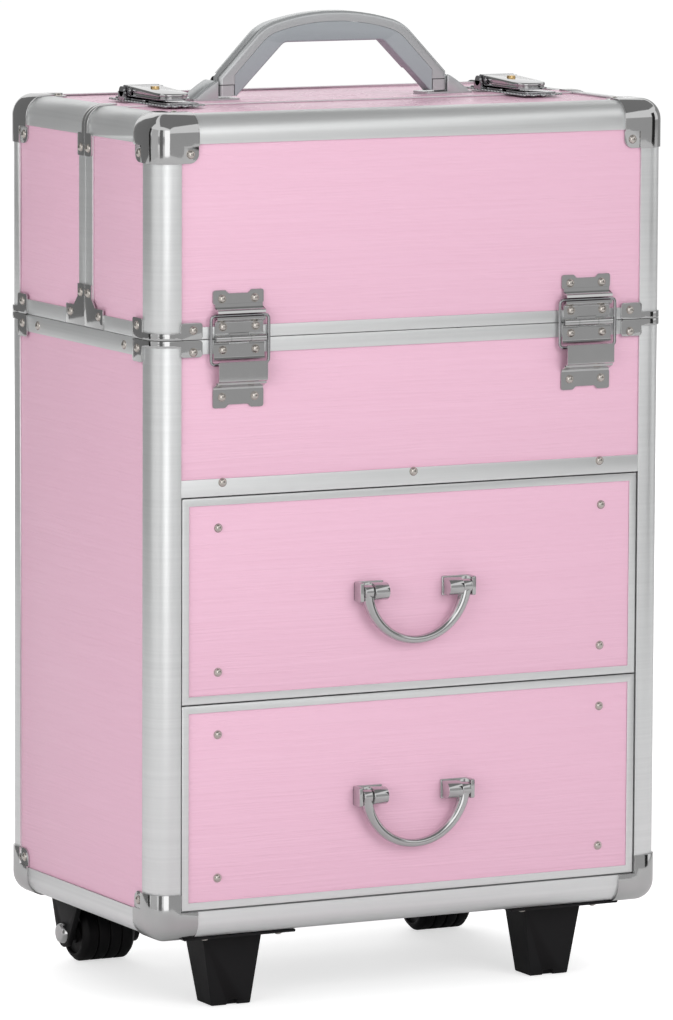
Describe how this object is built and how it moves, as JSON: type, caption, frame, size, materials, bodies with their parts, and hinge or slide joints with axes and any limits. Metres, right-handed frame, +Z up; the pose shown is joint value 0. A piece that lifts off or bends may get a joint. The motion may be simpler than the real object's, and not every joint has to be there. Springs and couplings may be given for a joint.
{
  "type": "rolling makeup case",
  "caption": "Upright rolling vanity case with a butterfly lid, folding carry handle, drawers with bail pulls, cantilever trays and a telescopic pull handle.",
  "frame": {"origin": "middle of the case on the floor it stands on", "axes": "+Z up, -Y out of the drawers' fronts, +X to the right seen from the front"},
  "size_m": [0.3552, 0.2373, 0.6013],
  "materials": {
    "pink_laminate": "pale pink laminate with fine embossed streaks",
    "brushed_aluminium": "satin anodised",
    "chrome_plate": "polished plate",
    "nickel_rivet": "nickel plated domes",
    "zinc_steel": "zinc plated sheet",
    "black_plastic": "moulded, slightly glossy",
    "wheel_rubber": "grooved tread",
    "grey_plastic": "silver grey moulding",
    "dark_lining": "dark fabric-faced lining"
  },
  "bodies": {
    "cabinet": {"base_walls": "pink_laminate", "base_floors": "dark_lining", "front_apron_panel": "pink_laminate", "base_edge_rails": "brushed_aluminium", "base_rim_rails": "brushed_aluminium", "apron_trim_rail": "brushed_aluminium", "base_corner_fittings": "chrome_plate", "base_fasteners": "nickel_rivet", "drawer_runners": "zinc_steel", "front_feet": "black_plastic", "wheel_brackets": "black_plastic", "hinge_pins_and_axles": "chrome_plate", "hinge_base_leaves": "chrome_plate", "tray_pivot_straps": "zinc_steel", "telescopic_sleeves": "brushed_aluminium"},
    "front_lid": {"front_lid_walls": "pink_laminate", "front_lid_top": "pink_laminate", "front_lid_edge_rails": "brushed_aluminium", "front_lid_channels": "brushed_aluminium", "front_lid_fittings": "chrome_plate", "front_lid_rivets": "nickel_rivet", "front_hinge_lid_leaves": "chrome_plate", "latch_keepers": "chrome_plate"},
    "rear_lid": {"rear_lid_walls": "pink_laminate", "rear_lid_top": "pink_laminate", "rear_lid_edge_rails": "brushed_aluminium", "rear_lid_channels": "brushed_aluminium", "rear_lid_fittings": "chrome_plate", "rear_lid_rivets": "nickel_rivet", "rear_hinge_lid_leaves": "chrome_plate", "latch_bases": "chrome_plate", "handle_mounts": "grey_plastic"},
    "front_rings": {"front_hinge_rings": "chrome_plate"},
    "rear_rings": {"rear_hinge_rings": "chrome_plate"},
    "left_latch": {"left_latch_lever": "chrome_plate"},
    "right_latch": {"right_latch_lever": "chrome_plate"},
    "handle": {"carry_handle": "grey_plastic"},
    "upper_drawer": {"upper_drawer_box": "dark_lining", "upper_drawer_front": "pink_laminate", "upper_drawer_trim": "brushed_aluminium", "upper_pull_posts": "chrome_plate"},
    "upper_bail": {"upper_pull_bail": "chrome_plate"},
    "lower_drawer": {"lower_drawer_box": "dark_lining", "lower_drawer_front": "pink_laminate", "lower_drawer_trim": "brushed_aluminium", "lower_pull_posts": "chrome_plate"},
    "lower_bail": {"lower_pull_bail": "chrome_plate"},
    "left_wheel": {"left_wheel": "wheel_rubber"},
    "right_wheel": {"right_wheel": "wheel_rubber"},
    "front_inner_arms": {"front_inner_arms": "zinc_steel"},
    "front_outer_arms": {"front_outer_arms": "zinc_steel"},
    "front_lower_tray": {"front_lower_tray": "dark_lining"},
    "front_upper_tray": {"front_upper_tray": "dark_lining"},
    "rear_inner_arms": {"rear_inner_arms": "zinc_steel"},
    "rear_outer_arms": {"rear_outer_arms": "zinc_steel"},
    "rear_lower_tray": {"rear_lower_tray": "dark_lining"},
    "rear_upper_tray": {"rear_upper_tray": "dark_lining"},
    "telescopic_middle": {"telescopic_middle_tubes": "brushed_aluminium"},
    "telescopic_grip": {"telescopic_grip": "black_plastic"},
    "telescopic_button": {"telescopic_button": "grey_plastic"}
  },
  "joints": [
    {"name": "front_lid_hinge", "type": "hinge", "parent": "cabinet", "child": "front_lid", "pos_m": [0, -0.1085, 0.413], "axis": [1, 0, 0], "range_deg": [0, 90]},
    {"name": "rear_lid_hinge", "type": "hinge", "parent": "cabinet", "child": "rear_lid", "pos_m": [0, 0.1085, 0.413], "axis": [-1, 0, 0], "range_deg": [0, 90]},
    {"name": "front_ring_pivot", "type": "hinge", "parent": "front_lid", "child": "front_rings", "pos_m": [0, -0.1079, 0.427], "axis": [-1, 0, 0], "range_deg": [0, 57]},
    {"name": "rear_ring_pivot", "type": "hinge", "parent": "rear_lid", "child": "rear_rings", "pos_m": [0, 0.1079, 0.427], "axis": [1, 0, 0], "range_deg": [0, 57]},
    {"name": "left_latch_pivot", "type": "hinge", "parent": "rear_lid", "child": "left_latch", "pos_m": [-0.124, 0.02, 0.554], "axis": [-1, 0, 0], "range_deg": [0, 180]},
    {"name": "right_latch_pivot", "type": "hinge", "parent": "rear_lid", "child": "right_latch", "pos_m": [0.124, 0.02, 0.554], "axis": [-1, 0, 0], "range_deg": [0, 180]},
    {"name": "handle_fold", "type": "hinge", "parent": "rear_lid", "child": "handle", "pos_m": [0, 0.012, 0.556], "axis": [-1, 0, 0], "range_deg": [0, 70]},
    {"name": "upper_drawer_slide", "type": "slide", "parent": "cabinet", "child": "upper_drawer", "axis": [0, -1, 0], "range_m": [0, 0.15]},
    {"name": "upper_bail_pivot", "type": "hinge", "parent": "upper_drawer", "child": "upper_bail", "pos_m": [0, -0.1112, 0.25425], "axis": [-1, 0, 0], "range_deg": [0, 90]},
    {"name": "lower_drawer_slide", "type": "slide", "parent": "cabinet", "child": "lower_drawer", "axis": [0, -1, 0], "range_m": [0, 0.15]},
    {"name": "lower_bail_pivot", "type": "hinge", "parent": "lower_drawer", "child": "lower_bail", "pos_m": [0, -0.1112, 0.12805], "axis": [-1, 0, 0], "range_deg": [0, 90]},
    {"name": "left_wheel_spin", "type": "hinge", "parent": "cabinet", "child": "left_wheel", "pos_m": [-0.1205, 0.089, 0.0185], "axis": [1, 0, 0], "continuous": true},
    {"name": "right_wheel_spin", "type": "hinge", "parent": "cabinet", "child": "right_wheel", "pos_m": [0.1205, 0.089, 0.0185], "axis": [1, 0, 0], "continuous": true},
    {"name": "front_inner_arm_pivot", "type": "hinge", "parent": "cabinet", "child": "front_inner_arms", "pos_m": [0, -0.062, 0.407], "axis": [1, 0, 0], "range_deg": [0, 75]},
    {"name": "front_outer_arm_pivot", "type": "hinge", "parent": "cabinet", "child": "front_outer_arms", "pos_m": [0, -0.084, 0.407], "axis": [1, 0, 0], "range_deg": [0, 75]},
    {"name": "front_lower_tray_pivot", "type": "hinge", "parent": "front_inner_arms", "child": "front_lower_tray", "pos_m": [0, -0.0395, 0.44597], "axis": [-1, 0, 0], "range_deg": [0, 75]},
    {"name": "front_upper_tray_pivot", "type": "hinge", "parent": "front_inner_arms", "child": "front_upper_tray", "pos_m": [0, -0.0145, 0.48927], "axis": [-1, 0, 0], "range_deg": [0, 75]},
    {"name": "rear_inner_arm_pivot", "type": "hinge", "parent": "cabinet", "child": "rear_inner_arms", "pos_m": [0, 0.062, 0.407], "axis": [-1, 0, 0], "range_deg": [0, 75]},
    {"name": "rear_outer_arm_pivot", "type": "hinge", "parent": "cabinet", "child": "rear_outer_arms", "pos_m": [0, 0.084, 0.407], "axis": [-1, 0, 0], "range_deg": [0, 75]},
    {"name": "rear_lower_tray_pivot", "type": "hinge", "parent": "rear_inner_arms", "child": "rear_lower_tray", "pos_m": [0, 0.0395, 0.44597], "axis": [1, 0, 0], "range_deg": [0, 75]},
    {"name": "rear_upper_tray_pivot", "type": "hinge", "parent": "rear_inner_arms", "child": "rear_upper_tray", "pos_m": [0, 0.0145, 0.48927], "axis": [1, 0, 0], "range_deg": [0, 75]},
    {"name": "telescopic_middle_slide", "type": "slide", "parent": "cabinet", "child": "telescopic_middle", "axis": [0, 0, -1], "range_m": [-0.25, 0]},
    {"name": "telescopic_grip_slide", "type": "slide", "parent": "telescopic_middle", "child": "telescopic_grip", "axis": [0, 0, -1], "range_m": [-0.25, 0]},
    {"name": "telescopic_button_press", "type": "slide", "parent": "telescopic_grip", "child": "telescopic_button", "axis": [0, 0, -1], "range_m": [0, 0.003], "stiffness_N_per_m": 300}
  ],
  "couplings": [
    {"joint": "front_ring_pivot", "follows": "front_lid_hinge", "ratio": 0.63333},
    {"joint": "rear_ring_pivot", "follows": "rear_lid_hinge", "ratio": 0.63333},
    {"joint": "left_latch_pivot", "follows": "front_lid_hinge", "ratio": 2},
    {"joint": "right_latch_pivot", "follows": "front_lid_hinge", "ratio": 2},
    {"joint": "front_inner_arm_pivot", "follows": "front_lid_hinge", "ratio": 0.83333},
    {"joint": "front_outer_arm_pivot", "follows": "front_lid_hinge", "ratio": 0.83333},
    {"joint": "front_lower_tray_pivot", "follows": "front_lid_hinge", "ratio": 0.83333},
    {"joint": "front_upper_tray_pivot", "follows": "front_lid_hinge", "ratio": 0.83333},
    {"joint": "rear_inner_arm_pivot", "follows": "rear_lid_hinge", "ratio": 0.83333},
    {"joint": "rear_outer_arm_pivot", "follows": "rear_lid_hinge", "ratio": 0.83333},
    {"joint": "rear_lower_tray_pivot", "follows": "rear_lid_hinge", "ratio": 0.83333},
    {"joint": "rear_upper_tray_pivot", "follows": "rear_lid_hinge", "ratio": 0.83333}
  ]
}
